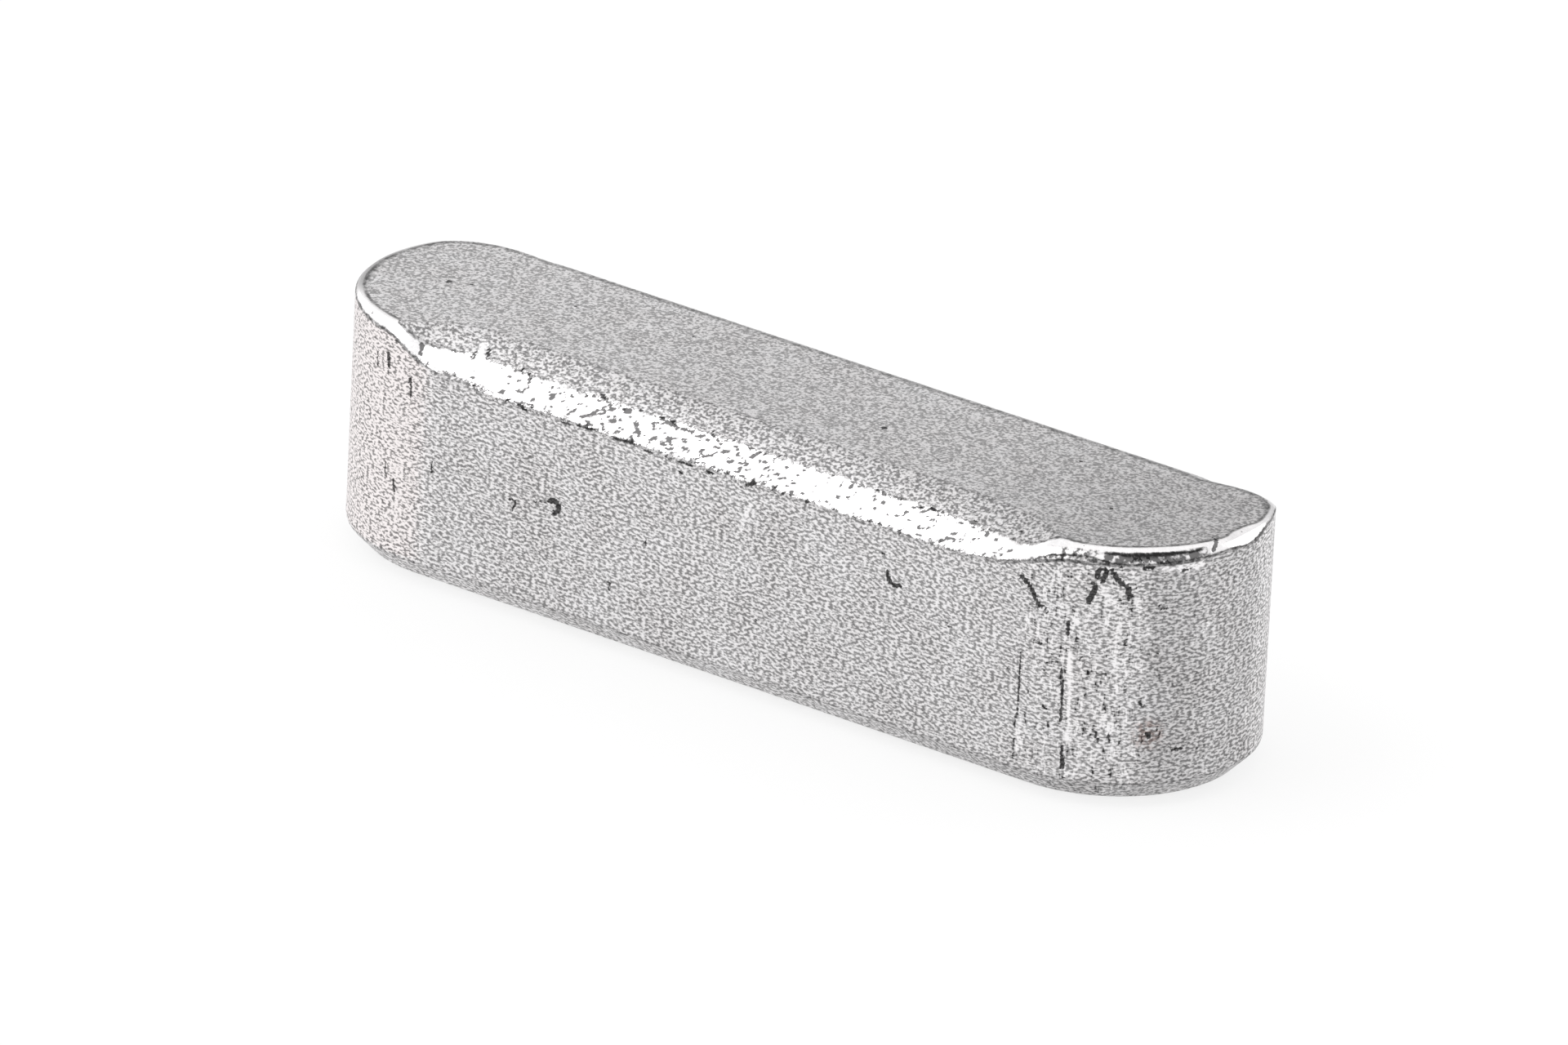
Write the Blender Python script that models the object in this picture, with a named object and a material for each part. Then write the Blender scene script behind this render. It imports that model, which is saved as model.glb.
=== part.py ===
# Parallel key with both ends rounded to the full width.
# X runs along the key, Y across it and Z up from the underside. The origin is the centre of the underside.
# The upper rim is broken by two facets all round, a shallow shoulder above a steeper chamfer. They are wide on
# the long edges and narrow round the ends, and near each corner the wide ones fade into the narrow ones.
import math

import bmesh
import bpy

MM = 0.001

# Overall size
LENGTH = 28.0 * MM
WIDTH = 8.0 * MM
HEIGHT = 7.0 * MM

# Break of the long upper edges
SHOULDER_WIDTH = 0.85 * MM
SHOULDER_DROP = 0.42 * MM
CHAMFER_WIDTH = 0.72 * MM
CHAMFER_DROP = 0.62 * MM

# Break of the upper rim round each end
END_SHOULDER_WIDTH = 0.14 * MM
END_SHOULDER_DROP = 0.05 * MM
END_CHAMFER = 0.26 * MM

# Chamfer round the whole underside
BASE_CHAMFER = 0.62 * MM

# Where the wide shoulder and the wide chamfer start and stop fading, measured along the rim from the point
# where a long side turns into a round end. Minus is on the straight. They fade early on the front edge, and
# late and together on the back edge.
FRONT_SHOULDER_FADE = (-0.6 * MM, 1.3 * MM)
FRONT_CHAMFER_FADE = (-2.2 * MM, 1.1 * MM)
BACK_FADE = (0.6 * MM, 5.0 * MM)

# How finely each half-round end is divided, and the stretch of each long side where its break fades
END_STEPS = 64
FADE_STEPS = 12

# Length of that stretch of the long side, before its break runs on unchanged
FADE_STRETCH = 2.5 * MM

# Edges that turn more sharply than this stay crisp
CRISP_ANGLE = math.radians(12.0)

STEEL_COLOUR = (0.56, 0.555, 0.545, 1.0)
STEEL_ROUGHNESS = 0.38

END_RADIUS = WIDTH / 2
END_CENTRE = LENGTH / 2 - END_RADIUS


def clear_scene():
    for old in list(bpy.data.objects):
        bpy.data.objects.remove(old, do_unlink=True)


def bright_steel():
    material = bpy.data.materials.new("bright_steel")
    material.use_nodes = True
    shader = material.node_tree.nodes["Principled BSDF"]
    shader.inputs["Base Color"].default_value = STEEL_COLOUR
    shader.inputs["Metallic"].default_value = 1.0
    shader.inputs["Roughness"].default_value = STEEL_ROUGHNESS
    return material


def wide_share(past_side, fade):
    """How much of the wide break is left at a place on the rim: 1 on the long edge, 0 on the round end."""
    start, stop = fade
    along = min(max((past_side - start) / (stop - start), 0.0), 1.0)
    return 1.0 - along * along * (3.0 - 2.0 * along)


def between(first, second, share):
    return first + (second - first) * share


def rim_break(past_side, side):
    """Sizes of the break at a place on the rim: shoulder width and drop, chamfer width and drop."""
    front = side < 0
    shoulder = wide_share(past_side, FRONT_SHOULDER_FADE if front else BACK_FADE)
    chamfer = wide_share(past_side, FRONT_CHAMFER_FADE if front else BACK_FADE)
    return (
        between(END_SHOULDER_WIDTH, SHOULDER_WIDTH, shoulder),
        between(END_SHOULDER_DROP, SHOULDER_DROP, shoulder),
        between(END_CHAMFER, CHAMFER_WIDTH, chamfer),
        between(END_CHAMFER, CHAMFER_DROP, chamfer),
    )


def end_stations(direction):
    """Places round one end, counter-clockwise: plan point, outward normal and sizes of the break."""
    found = []
    for step in range(END_STEPS + 1):
        turn = math.pi * (step / END_STEPS - 0.5)
        normal = (direction * math.cos(turn), direction * math.sin(turn))
        point = (direction * END_CENTRE + END_RADIUS * normal[0], END_RADIUS * normal[1])
        past_side = END_RADIUS * (math.pi / 2 - abs(turn))
        found.append((point, normal, rim_break(past_side, normal[1])))
    return found


def side_stations(direction):
    """Places along one long side between the round ends, counter-clockwise."""
    inward = [FADE_STRETCH * step / FADE_STEPS for step in range(1, FADE_STEPS + 1)]
    places = [(END_CENTRE - run, -run) for run in inward]
    places += [(run - END_CENTRE, -run) for run in reversed(inward)]
    found = []
    for along, past_side in places:
        point = (direction * along, direction * WIDTH / 2)
        found.append((point, (0.0, direction), rim_break(past_side, direction)))
    return found


def ring(builder, stations, inset_and_level):
    """Closed loop of points, each drawn in from the outline and set at its height."""
    loop = []
    for point, normal, sizes in stations:
        inset, level = inset_and_level(*sizes)
        loop.append(builder.verts.new((point[0] - inset * normal[0], point[1] - inset * normal[1], level)))
    return loop


def skin(builder, lower, upper):
    for here in range(len(lower)):
        after = (here + 1) % len(lower)
        builder.faces.new((lower[here], lower[after], upper[after], upper[here]))


def underside(shoulder_width, shoulder_drop, chamfer_width, chamfer_drop):
    return BASE_CHAMFER, 0.0


def foot(shoulder_width, shoulder_drop, chamfer_width, chamfer_drop):
    return 0.0, BASE_CHAMFER


def wall_top(shoulder_width, shoulder_drop, chamfer_width, chamfer_drop):
    return 0.0, HEIGHT - shoulder_drop - chamfer_drop


def crease(shoulder_width, shoulder_drop, chamfer_width, chamfer_drop):
    return chamfer_width, HEIGHT - shoulder_drop


def rim(shoulder_width, shoulder_drop, chamfer_width, chamfer_drop):
    return chamfer_width + shoulder_width, HEIGHT


def key_solid():
    builder = bmesh.new()
    stations = end_stations(1) + side_stations(1) + end_stations(-1) + side_stations(-1)
    rings = [ring(builder, stations, level) for level in (underside, foot, wall_top, crease, rim)]
    for lower, upper in zip(rings, rings[1:]):
        skin(builder, lower, upper)
    builder.faces.new(list(reversed(rings[0])))
    builder.faces.new(rings[-1])
    return builder


def build():
    clear_scene()
    builder = key_solid()
    mesh = bpy.data.meshes.new("parallel_key")
    builder.to_mesh(mesh)
    builder.free()
    mesh.shade_smooth()
    mesh.set_sharp_from_angle(angle=CRISP_ANGLE)
    mesh.materials.append(bright_steel())
    bpy.context.scene.collection.objects.link(bpy.data.objects.new("parallel_key", mesh))


build()
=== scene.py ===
import math
from types import SimpleNamespace

import bmesh
import bpy
import numpy as np
from mathutils import Matrix, Vector


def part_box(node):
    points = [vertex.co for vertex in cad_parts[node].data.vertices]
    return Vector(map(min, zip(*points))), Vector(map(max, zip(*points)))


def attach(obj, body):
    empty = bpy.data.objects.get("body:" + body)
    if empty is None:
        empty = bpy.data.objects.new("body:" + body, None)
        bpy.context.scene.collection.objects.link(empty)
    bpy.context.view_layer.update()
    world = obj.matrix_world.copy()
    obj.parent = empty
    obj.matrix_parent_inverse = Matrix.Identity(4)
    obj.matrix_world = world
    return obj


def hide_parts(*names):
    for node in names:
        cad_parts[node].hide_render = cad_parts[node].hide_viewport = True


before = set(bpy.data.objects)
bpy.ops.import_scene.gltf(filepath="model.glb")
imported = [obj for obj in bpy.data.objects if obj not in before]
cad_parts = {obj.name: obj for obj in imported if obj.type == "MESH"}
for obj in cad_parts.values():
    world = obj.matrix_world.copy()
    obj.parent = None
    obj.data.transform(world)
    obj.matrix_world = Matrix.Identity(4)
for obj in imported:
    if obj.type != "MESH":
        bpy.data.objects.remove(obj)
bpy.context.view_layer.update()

MM = 0.001

# Overall size of the key, from the frame
LOW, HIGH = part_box("parallel_key")
END_RADIUS = (HIGH.y - LOW.y) / 2 / MM
END_CENTRE = (HIGH.x - LOW.x) / 2 / MM - END_RADIUS
HEIGHT = (HIGH.z - LOW.z) / MM
HALF_ROUND = math.pi * END_RADIUS
HALF_GIRTH = 2 * END_CENTRE + HALF_ROUND

# Lengths from here on are in millimetres until the mesh is made. A place round the key is measured along
# its outline: 0 is the middle of the front, plus runs round the right end and minus round the left end.

# Break of the long upper edges: a shallow shoulder above a steeper chamfer
SHOULDER_WIDTH = 0.85
SHOULDER_DROP = 0.42
CHAMFER_WIDTH = 0.715
CHAMFER_DROP = 0.62

# Break round the ends: width and drop of each shoulder, and chamfers at 45 degrees. The far ones are toward
# the back, where the right end's break is down to a share of its size
LEFT_END_SHOULDER = (0.05, 0.02)
RIGHT_END_SHOULDER = (0.20, 0.09)
LEFT_END_CHAMFER = 0.22
FAR_LEFT_CHAMFER = 0.10
RIGHT_END_CHAMFER = 0.21
FAR_RIGHT_SHARE = 0.20

# Chamfer round the whole underside
BASE_CHAMFER = 0.63

# Where the breaks fade, measured along the rim past the point where a long side turns into a round end
LEFT_SHOULDER_FADE = (-0.36, 1.0)
LEFT_CHAMFER_FADE = (-1.77, 0.69)
RIGHT_SHOULDER_FADE = (-0.96, 1.54)
RIGHT_CHAMFER_FADE = (-2.84, 1.60)
LEFT_BACK_FADE = (0.56, 5.08)
RIGHT_BACK_FADE = (1.00, 4.20)

# Places where the breaks of the ends thin out toward the back of the key
LEFT_THINNING = (-13.6, -11.0)
RIGHT_THINNING = (13.0, 18.6)

# Places between which the right end's break swells, the ease at both, and the share of its size it gains
RIGHT_SWELLING = (16.1, 17.1, 0.35)
SWELLING_SHARE = 0.40

# Share of the wide shoulder from which it is all frosted. Below it, more and more of it is bright
LEFT_FROST_SHARE = 0.08
RIGHT_FROST_SHARE = 0.75

# How far the hand-dressed edges stray from straight, over what length, and the seeds of the lower and upper
# edge. The upper edge strays more, and round the ends both stray by a share of that
EDGE_WANDER = 0.018
WANDER_LENGTH = 0.9
WANDER_SEEDS = (3, 4)
UPPER_WANDER = 1.5
END_WANDER_SHARE = 0.3

# Distance between columns of the mesh, fine where the marks are and coarse on the back
FINE_COLUMN = 0.066
COARSE_COLUMN = 0.13
FINE_LEFT_REACH = 4.5
FINE_RIGHT_REACH = 8.5

# Rows of the mesh on each band, from the middle of the underside to the middle of the top
UNDER_ROWS = 8
FOOT_ROWS = 6
WALL_ROWS = 74
CHAMFER_ROWS = 15
SHOULDER_ROWS = 12
TOP_ROWS = 10


def smooth(value, start, stop):
    """0 before start, 1 after stop, with a soft ramp between."""
    along = np.clip((value - start) / (stop - start), 0.0, 1.0)
    return along * along * (3.0 - 2.0 * along)


def window(value, start, stop, ease):
    """1 between start and stop, 0 outside, eased at both ends."""
    return smooth(value, start - ease, start + ease) * (1.0 - smooth(value, stop - ease, stop + ease))


NOISE_TABLE = 256


def lattice_noise(u, v, cell, seed):
    """Smooth noise from -1 to 1 over two coordinates, with its own seed."""
    table = np.random.default_rng(seed).uniform(-1.0, 1.0, (NOISE_TABLE, NOISE_TABLE))
    x, y = np.asarray(u, float) / cell, np.asarray(v, float) / cell
    column, row = np.floor(x).astype(int), np.floor(y).astype(int)
    fx, fy = x - column, y - row
    fx, fy = fx * fx * (3 - 2 * fx), fy * fy * (3 - 2 * fy)
    left, right = column % NOISE_TABLE, (column + 1) % NOISE_TABLE
    below, above = row % NOISE_TABLE, (row + 1) % NOISE_TABLE
    lower = table[left, below] * (1 - fx) + table[right, below] * fx
    upper = table[left, above] * (1 - fx) + table[right, above] * fx
    return lower * (1 - fy) + upper * fy


def side_places(fine_reach):
    """Places from the middle of the front to the middle of the back, without the last one."""
    fine_end = END_CENTRE + fine_reach
    fine = np.linspace(0.0, fine_end, int(fine_end / FINE_COLUMN) + 1)
    coarse_count = int((HALF_GIRTH - fine_end) / COARSE_COLUMN)
    coarse = np.linspace(fine_end, HALF_GIRTH, coarse_count + 1)
    return np.concatenate([fine[:-1], coarse[:-1]])


def column_places():
    right = side_places(FINE_RIGHT_REACH)
    left = side_places(FINE_LEFT_REACH)
    return np.concatenate([right, [HALF_GIRTH], -left[:0:-1]])


def outline(place):
    """Plan point and outward normal of each place round the key."""
    along, sign = np.abs(place), np.where(place < 0, -1.0, 1.0)
    turn = np.clip((along - END_CENTRE) / END_RADIUS, 0.0, math.pi)
    normal = np.stack([sign * np.sin(turn), -np.cos(turn)], axis=-1)
    straight = np.where(along < END_CENTRE, along, END_CENTRE)
    straight = np.where(along > END_CENTRE + HALF_ROUND, HALF_GIRTH - along, straight)
    centre = np.stack([sign * straight, np.zeros_like(along)], axis=-1)
    return centre + END_RADIUS * normal, normal


def break_share(place, left_fade, right_fade):
    """How much of the wide break each place has: 1 on the long edges, 0 on the round ends."""
    past_front = np.abs(place) - END_CENTRE
    past_back = END_CENTRE + HALF_ROUND - np.abs(place)
    left = 1.0 - smooth(past_front, *left_fade)
    right = 1.0 - smooth(past_front, *right_fade)
    back_left = 1.0 - smooth(past_back, *LEFT_BACK_FADE)
    back_right = 1.0 - smooth(past_back, *RIGHT_BACK_FADE)
    return np.where(place < 0, left + back_left, right + back_right)


def shoulder_share(place):
    return break_share(place, LEFT_SHOULDER_FADE, RIGHT_SHOULDER_FADE)


def chamfer_share(place):
    return break_share(place, LEFT_CHAMFER_FADE, RIGHT_CHAMFER_FADE)


def key_section(place):
    """Inset and level of the section's corners, from the underside's middle to the top's middle."""
    shoulder, chamfer = shoulder_share(place), chamfer_share(place)
    left_end = FAR_LEFT_CHAMFER + (LEFT_END_CHAMFER - FAR_LEFT_CHAMFER) * smooth(place, *LEFT_THINNING)
    right_share = 1.0 - (1.0 - FAR_RIGHT_SHARE) * smooth(place, *RIGHT_THINNING)
    right_share += SWELLING_SHARE * window(place, *RIGHT_SWELLING)
    end_chamfer = np.where(place < 0, left_end, RIGHT_END_CHAMFER * right_share)
    end_width = np.where(place < 0, LEFT_END_SHOULDER[0], RIGHT_END_SHOULDER[0] * right_share)
    end_drop = np.where(place < 0, LEFT_END_SHOULDER[1], RIGHT_END_SHOULDER[1] * right_share)
    shoulder_width = end_width + (SHOULDER_WIDTH - end_width) * shoulder
    shoulder_drop = end_drop + (SHOULDER_DROP - end_drop) * shoulder
    chamfer_width = end_chamfer + (CHAMFER_WIDTH - end_chamfer) * chamfer
    chamfer_drop = end_chamfer + (CHAMFER_DROP - end_chamfer) * chamfer
    slope = np.arctan2(chamfer_drop, chamfer_width)
    zero = np.zeros_like(place)
    amount = EDGE_WANDER * (END_WANDER_SHARE + (1.0 - END_WANDER_SHARE) * chamfer)
    low_noise, high_noise = (lattice_noise(place, zero, WANDER_LENGTH, seed) for seed in WANDER_SEEDS)
    low_stray = amount * low_noise
    high_stray = UPPER_WANDER * amount * high_noise
    return [
        (zero + END_RADIUS, zero),
        (zero + BASE_CHAMFER, zero),
        (zero, zero + BASE_CHAMFER),
        (zero, HEIGHT - shoulder_drop - chamfer_drop + low_stray),
        (chamfer_width + high_stray * np.cos(slope), HEIGHT - shoulder_drop + high_stray * np.sin(slope)),
        (chamfer_width + shoulder_width, zero + HEIGHT),
        (zero + END_RADIUS, zero + HEIGHT),
    ]


def section_rows(corners):
    """Inset and level of every row, with each corner between two bands eased by a hair."""
    counts = (UNDER_ROWS, FOOT_ROWS, WALL_ROWS, CHAMFER_ROWS, SHOULDER_ROWS, TOP_ROWS)
    rows, bends = [corners[0]], []
    for (inset, level), (next_inset, next_level), count in zip(corners, corners[1:], counts):
        for step in range(1, count + 1):
            share = step / count
            rows.append((inset + (next_inset - inset) * share, level + (next_level - level) * share))
        bends.append(len(rows) - 1)
    grid = np.array(rows)
    for bend in bends[:-1]:
        grid[bend] = (grid[bend - 1] + 4 * grid[bend] + grid[bend + 1]) / 6
    return grid, bends


# Length of a mark that is given as one point, and the share of a mark's half width that is at full depth
DOT_LENGTH = 0.01
MARK_CORE = 0.35


def stroke(u, v, points, width):
    """1 on a line through points and 0 beyond width from it."""
    points = points if len(points) > 1 else [points[0], (points[0][0] + DOT_LENGTH, points[0][1])]
    nearest = np.full(np.shape(u), np.inf)
    for (ax, ay), (bx, by) in zip(points, points[1:]):
        span = (bx - ax) ** 2 + (by - ay) ** 2
        share = np.clip(((u - ax) * (bx - ax) + (v - ay) * (by - ay)) / span, 0.0, 1.0)
        nearest = np.minimum(nearest, np.hypot(u - ax - share * (bx - ax), v - ay - share * (by - ay)))
    return 1.0 - smooth(nearest, MARK_CORE * width, width)


def surface_normals(points):
    """Outward normals of a grid of points, whose rows run up the section and columns round the key."""
    round_key = np.roll(points, -1, axis=1) - np.roll(points, 1, axis=1)
    up_section = np.gradient(points, axis=0)
    normals = np.cross(round_key, up_section)
    return normals / np.maximum(np.linalg.norm(normals, axis=2, keepdims=True), 1e-12)


def arc_points(centre, radius, start, stop, count=7):
    turns = np.radians(np.linspace(start, stop, count))
    return [(centre[0] + radius * math.cos(t), centre[1] + radius * math.sin(t)) for t in turns]


# Marks on the walls: points (place round the key, height), half width, depth and darkness
WALL_MARKS = {
    "comma_hook": (arc_points((-5.16, 3.50), 0.17, 140, -75), 0.097, 0.035, 1),
    "comma_tail": ([(-5.82, 3.44), (-5.30, 3.58)], 0.049, 0.012, 0.55),
    "comma_tick": ([(-6.62, 3.30), (-6.40, 3.30), (-6.48, 3.04)], 0.057, 0.018, 0.75),
    "cup_dent": (arc_points((5.95, 4.76), 0.27, 170, 305), 0.081, 0.030, 0.95),
    "cup_speck": ([(5.51, 5.26)], 0.081, 0.015, 0.7),
    "low_nick": ([(-3.36, 1.95), (-3.20, 1.95), (-3.26, 1.68)], 0.057, 0.012, 0.6),
    "small_nick_a": ([(-3.55, 3.74)], 0.065, 0.012, 0.55),
    "small_nick_b": ([(-2.13, 3.42), (-2.15, 3.22)], 0.057, 0.012, 0.6),
    "small_nick_c": ([(-6.25, 1.76)], 0.073, 0.010, 0.45),
    "right_nick": ([(7.62, 3.95), (7.80, 3.84)], 0.057, 0.012, 0.6),
    "gouge": ([(9.94, 5.90), (10.22, 5.72), (10.52, 5.22)], 0.089, 0.040, 1),
    "gouge_branch": ([(10.50, 5.34), (10.78, 5.16)], 0.049, 0.018, 0.8),
    "arch_ring": (arc_points((12.17, 6.42), 0.12, 0, 360, 13), 0.081, 0.030, 1),
    "arch_tail": ([(12.17, 6.30), (12.19, 6.20)], 0.075, 0.020, 0.9),
    "arch_left": ([(12.02, 6.02), (11.93, 5.81), (11.85, 5.62)], 0.108, 0.035, 1),
    "arch_spur": ([(11.88, 6.16), (12.02, 6.02)], 0.070, 0.020, 0.9),
    "arch_right": ([(12.40, 6.52), (12.60, 6.24), (12.84, 6.06)], 0.082, 0.030, 1),
    "arch_right_foot": ([(12.84, 6.06), (12.90, 5.78)], 0.100, 0.035, 1),
    "arch_right_hook": ([(12.60, 6.24), (12.64, 6.10)], 0.065, 0.020, 0.8),
    "band_crumb": ([(13.25, 6.66), (13.45, 6.62)], 0.097, 0.020, 0.9),
    "band_crumb_small": ([(12.62, 6.62)], 0.073, 0.015, 0.8),
    "band_dash": ([(14.28, 6.47), (14.52, 6.46)], 0.057, 0.015, 0.8),
    "upper_dash": ([(11.35, 4.98), (11.36, 4.62)], 0.081, 0.025, 0.95),
    "seam_dark_a": ([(11.25, 3.62), (11.30, 2.62)], 0.06, 0.015, 0.8),
    "seam_dark_b": ([(11.29, 2.52), (11.30, 2.30)], 0.077, 0.015, 0.8),
    "seam_dark_c": ([(11.36, 1.55), (11.40, 0.95)], 0.077, 0.018, 0.9),
    "tangent_dark_a": ([(10.06, 3.85), (10.02, 3.10), (10.03, 2.30), (9.98, 1.75)], 0.057, 0.012, 0.65),
    "tangent_dark_b": ([(10.00, 1.40), (10.00, 0.88)], 0.049, 0.010, 0.6),
    "nick_run_a": ([(12.20, 2.05), (12.28, 1.82)], 0.065, 0.015, 0.8),
    "nick_run_b": ([(12.53, 2.00), (12.53, 1.88)], 0.057, 0.012, 0.65),
    "brown_core": ([(13.54, 2.05), (13.62, 1.95)], 0.089, 0.020, 0.95),
    "brown_fleck_a": ([(13.30, 2.90), (13.38, 2.80)], 0.081, 0.015, 0.7),
    "brown_fleck_b": ([(13.78, 2.24), (13.90, 1.92)], 0.049, 0.010, 0.6),
    "brown_fleck_c": ([(13.36, 2.24), (13.42, 1.80)], 0.049, 0.010, 0.5),
    "low_dash": ([(14.20, 1.58), (14.52, 1.52)], 0.06, 0.015, 0.8),
    "mid_dash": ([(13.66, 5.56), (13.90, 5.44)], 0.06, 0.015, 0.75),
    "dash_a": ([(10.45, 4.26), (10.66, 4.22)], 0.057, 0.012, 0.7),
    "dash_b": ([(12.14, 3.68), (12.40, 3.68)], 0.057, 0.012, 0.65),
    "dash_c": ([(11.70, 4.02), (11.80, 4.12), (11.96, 4.12)], 0.057, 0.012, 0.6),
    "dash_d": ([(11.78, 3.88), (11.98, 3.88)], 0.049, 0.012, 0.6),
    "dash_e": ([(10.70, 3.52), (10.88, 3.50)], 0.049, 0.012, 0.6),
    "left_dash_a": ([(-11.32, 6.05), (-11.30, 5.62)], 0.072, 0.012, 0.6),
    "left_dash_b": ([(-10.86, 6.17), (-10.82, 5.82)], 0.098, 0.014, 0.8),
    "left_dash_c": ([(-10.02, 5.70), (-10.00, 5.22)], 0.076, 0.012, 0.75),
    "left_dash_d": ([(-10.80, 3.10), (-10.76, 2.70)], 0.068, 0.012, 0.65),
    "left_dash_e": ([(-10.45, 2.72), (-10.42, 2.42)], 0.068, 0.012, 0.65),
    "left_dash_f": ([(-9.20, 3.60), (-9.18, 3.30)], 0.068, 0.012, 0.65),
}

# Light scratches and glints on the walls, pressed in as shallow grooves, whose light tone is a painted
# highlight: the same, with how light they are in place of darkness
WALL_GLINTS = {
    "diagonal_scratch_glint": ([(1.22, 5.40), (1.08, 5.02), (0.90, 4.55)], 0.068, 0.008, 0.9),
    "seam_bright": ([(11.45, 4.10), (11.48, 3.00), (11.52, 1.70)], 0.068, 0.008, 1),
    "band_glint": ([(13.70, 6.60), (14.30, 6.53), (14.85, 6.56)], 0.081, 0.006, 1),
    "arch_glint": ([(12.22, 6.02), (12.36, 5.72), (12.62, 5.60)], 0.09, 0.006, 0.8),
    "run_glint_a": ([(12.62, 5.00), (12.60, 4.45), (12.66, 3.80)], 0.063, 0.006, 0.8),
    "run_glint_b": ([(12.37, 2.60), (12.40, 2.20)], 0.072, 0.006, 0.8),
    "run_glint_c": ([(12.62, 2.50), (12.60, 2.10)], 0.072, 0.006, 0.8),
    "nick_glint": ([(11.48, 5.12), (11.60, 5.00)], 0.09, 0.006, 0.9),
    "small_glint_a": ([(13.40, 4.95), (13.44, 4.72)], 0.072, 0.006, 0.7),
    "small_glint_b": ([(15.14, 4.95), (15.00, 4.62)], 0.063, 0.006, 0.7),
    "tangent_glint": ([(10.20, 4.95), (10.24, 4.60)], 0.063, 0.006, 0.7),
    "tangent_glint_low": ([(10.12, 2.10), (10.10, 1.20)], 0.063, 0.006, 0.7),
    "far_glint": ([(16.80, 2.00), (16.86, 1.45)], 0.063, 0.006, 0.6),
}

# Nicks on the front chamfer, and two painted shades beside the light tick at the crease: points (place
# round the key, distance up the chamfer), half width, depth and darkness
CHAMFER_NICKS = {
    "blob": ([(-5.72, 0.56), (-5.66, 0.48)], 0.086, 0.020, 1),
    "squiggle": ([(-6.58, 0.74), (-6.50, 0.58), (-6.56, 0.40)], 0.051, 0.012, 0.81),
    "line": ([(-6.30, 0.12), (-6.05, 0.15)], 0.043, 0.010, 0.7),
    "tick": ([(-5.72, 0.24), (-5.66, 0.10)], 0.051, 0.010, 0.7),
    "slant": ([(-5.44, 0.78), (-5.28, 0.58)], 0.043, 0.010, 0.7),
    "hook": ([(-5.14, 0.40), (-4.97, 0.28), (-4.80, 0.32), (-4.84, 0.42)], 0.047, 0.012, 0.75),
    "dash": ([(-4.52, 0.32), (-4.22, 0.43), (-3.95, 0.57)], 0.055, 0.016, 0.78),
    "arc": ([(-3.74, 0.40), (-3.55, 0.54), (-3.36, 0.50)], 0.043, 0.010, 0.65),
    "comma": ([(-3.00, 0.60), (-2.86, 0.46), (-2.69, 0.34)], 0.07, 0.016, 0.95),
    "fold": ([(-4.38, 1.05), (-4.12, 0.94), (-3.84, 0.76)], 0.058, 0.015, 0.8),
    "pair": ([(-3.52, 0.83), (-3.30, 0.87)], 0.07, 0.015, 0.85),
    "chunk": ([(-2.36, 0.93), (-1.98, 0.87), (-1.70, 0.84)], 0.067, 0.015, 0.9),
    "chip_a": ([(-1.60, 0.84), (-1.36, 0.85)], 0.07, 0.015, 0.9),
    "chip_b": ([(-1.08, 0.76), (-0.86, 0.83)], 0.07, 0.015, 0.9),
    "chip_c": ([(-0.74, 1.04), (-0.61, 0.87)], 0.047, 0.012, 0.75),
    "chip_d": ([(-0.57, 0.28), (-0.42, 0.38)], 0.059, 0.012, 0.85),
    "chip_e": ([(0.26, 0.45), (0.34, 0.43)], 0.067, 0.012, 0.85),
    "chip_f": ([(0.65, 0.54)], 0.067, 0.012, 0.85),
    "chip_g": ([(0.74, 0.71), (0.82, 0.66)], 0.055, 0.012, 0.81),
    "foot_wedge": ([(-6.52, 0.06), (-6.20, -0.08)], 0.070, 0.018, 0.90),
    "foot_a": ([(-5.00, -0.08), (-4.74, -0.06)], 0.052, 0.012, 0.75),
    "foot_b": ([(-4.48, 0.00), (-4.05, 0.03)], 0.052, 0.012, 0.70),
    "foot_c": ([(-3.30, 0.00), (-2.66, -0.02)], 0.055, 0.014, 0.80),
    "foot_d": ([(-2.29, -0.06), (-2.02, -0.04)], 0.055, 0.014, 0.75),
    "foot_e": ([(-1.68, -0.04), (-1.42, -0.05)], 0.050, 0.012, 0.70),
    "foot_f": ([(-1.22, -0.08), (-0.73, -0.07)], 0.058, 0.014, 0.80),
    "foot_g": ([(-0.26, -0.05), (-0.07, -0.07)], 0.062, 0.012, 0.85),
    "foot_h": ([(1.02, -0.04), (1.25, -0.02)], 0.062, 0.012, 0.85),
    "left_notch": ([(-9.90, 0.42), (-9.84, 0.20)], 0.085, 0.012, 0.95),
    "left_fleck": ([(-9.55, 0.12), (-9.50, 0.08)], 0.060, 0.008, 0.6),
    "swelling_notch": ([(15.52, 0.40), (15.20, 0.12)], 0.080, 0.012, 0.95),
    # Painted shade beside the light tick at the crease, pressed in a little
    "tick_shade_right": ([(-8.26, 1.30), (-8.10, 0.95)], 0.065, 0.010, 0.9),
    "tick_shade_left": ([(-8.56, 1.05), (-8.44, 0.78)], 0.060, 0.008, 0.7),
}

# Painted highlights: light ticks that cross the crease at the top of the chamfer, pressed in a little
CHAMFER_GLINTS = {
    "crease_tick": ([(-8.50, 1.32), (-8.26, 0.80)], 0.15, 0.004, 1.0),
    "crease_spark_a": ([(-5.95, 1.10), (-5.80, 0.90)], 0.07, 0.004, 0.8),
    "crease_spark_b": ([(-2.60, 1.15), (-2.10, 1.12)], 0.06, 0.004, 0.7),
}

# Fine pits strewn over the front chamfer: how many and between which places, then the ranges they take
PIT_GROUPS = ((110, -7.0, 2.6), (60, -9.0, 9.6), (80, 1.0, 9.4), (50, -4.5, 2.0))
PIT_SEED = 21
PIT_SHARE_UP = (0.02, 1.05)
PIT_LEAN = (-0.6, 0.6)
PIT_LENGTH = (0.01, 0.11)
PIT_HALF_WIDTH = (0.040, 0.070)
PIT_DEPTH = (0.004, 0.012)
PIT_DARKNESS = (0.55, 1.0)


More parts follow.
